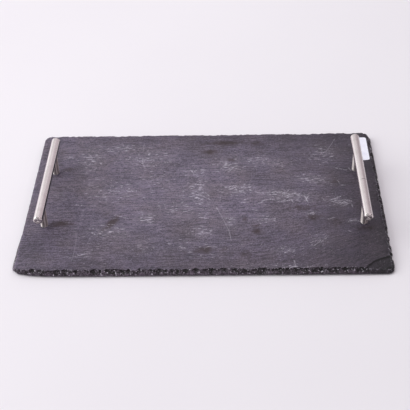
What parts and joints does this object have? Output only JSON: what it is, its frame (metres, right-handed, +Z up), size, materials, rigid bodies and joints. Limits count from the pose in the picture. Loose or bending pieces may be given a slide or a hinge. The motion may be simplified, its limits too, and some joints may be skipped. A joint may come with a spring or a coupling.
{
  "type": "slate serving board",
  "caption": "Rectangular riven slate serving board with chipped edges and a raised satin steel bar handle along each short end.",
  "frame": {"origin": "on the table, under the middle of the slab", "axes": "+X along the slab's length towards the labelled end, +Y from the front edge to the rear edge, +Z up"},
  "size_m": [0.4, 0.25, 0.04],
  "materials": {
    "slate": "matte",
    "satin_steel": "satin",
    "polished_steel": "polished",
    "zinc_screw": "satin",
    "clear_nylon": "satin",
    "black_rubber": "matte",
    "paper": "matte"
  },
  "bodies": {
    "root": {"left_bar_tube": "satin_steel", "left_front_bar_insert": "zinc_screw", "left_front_end_plug": "polished_steel", "left_front_fixing_screw": "zinc_screw", "left_front_foot": "black_rubber", "left_front_post": "polished_steel", "left_front_screw_washer": "zinc_screw", "left_front_seat_washer": "clear_nylon", "left_front_stud": "zinc_screw", "left_rear_bar_insert": "zinc_screw", "left_rear_end_plug": "polished_steel", "left_rear_fixing_screw": "zinc_screw", "left_rear_foot": "black_rubber", "left_rear_post": "polished_steel", "left_rear_screw_washer": "zinc_screw", "left_rear_seat_washer": "clear_nylon", "left_rear_stud": "zinc_screw", "paper_label": "paper", "right_bar_tube": "satin_steel", "right_front_bar_insert": "zinc_screw", "right_front_end_plug": "polished_steel", "right_front_fixing_screw": "zinc_screw", "right_front_foot": "black_rubber", "right_front_post": "polished_steel", "right_front_screw_washer": "zinc_screw", "right_front_seat_washer": "clear_nylon", "right_front_stud": "zinc_screw", "right_rear_bar_insert": "zinc_screw", "right_rear_end_plug": "polished_steel", "right_rear_fixing_screw": "zinc_screw", "right_rear_foot": "black_rubber", "right_rear_post": "polished_steel", "right_rear_screw_washer": "zinc_screw", "right_rear_seat_washer": "clear_nylon", "right_rear_stud": "zinc_screw", "slate_slab": "slate"}
  },
  "joints": []
}
